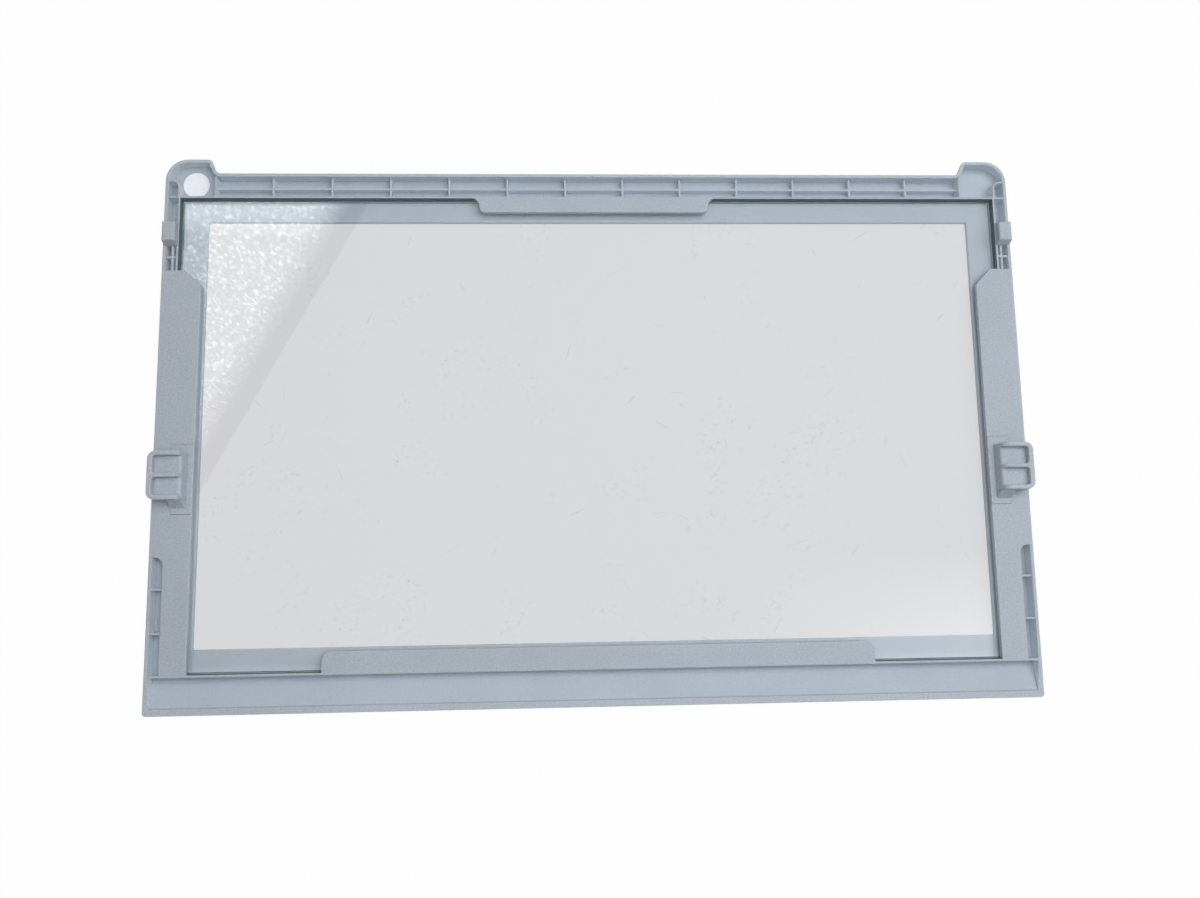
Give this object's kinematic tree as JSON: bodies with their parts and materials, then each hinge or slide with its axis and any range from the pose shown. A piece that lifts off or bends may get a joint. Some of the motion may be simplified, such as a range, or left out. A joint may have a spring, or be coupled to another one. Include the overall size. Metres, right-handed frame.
{
  "type": "refrigerator shelf",
  "caption": "Glass refrigerator shelf in a moulded plastic frame with a sloping front edge, ribbed rear rail, raised rear ears and guide hooks on the underside.",
  "frame": {"origin": "under the middle of the shelf as it lies on its top face: the centre of the bounding box's bottom", "axes": "+X across the shelf, +Y from the front edge towards the back, +Z out of the underside; turned half a turn about X or Y for use"},
  "size_m": [0.475, 0.302, 0.0204],
  "materials": {
    "frame_plastic": "fine matt",
    "shelf_glass": "clear, ground edges"
  },
  "bodies": {
    "root": {"shelf_frame": "frame_plastic", "guide_hook_left": "frame_plastic", "guide_hook_right": "frame_plastic", "glass_pane": "shelf_glass"}
  },
  "joints": []
}
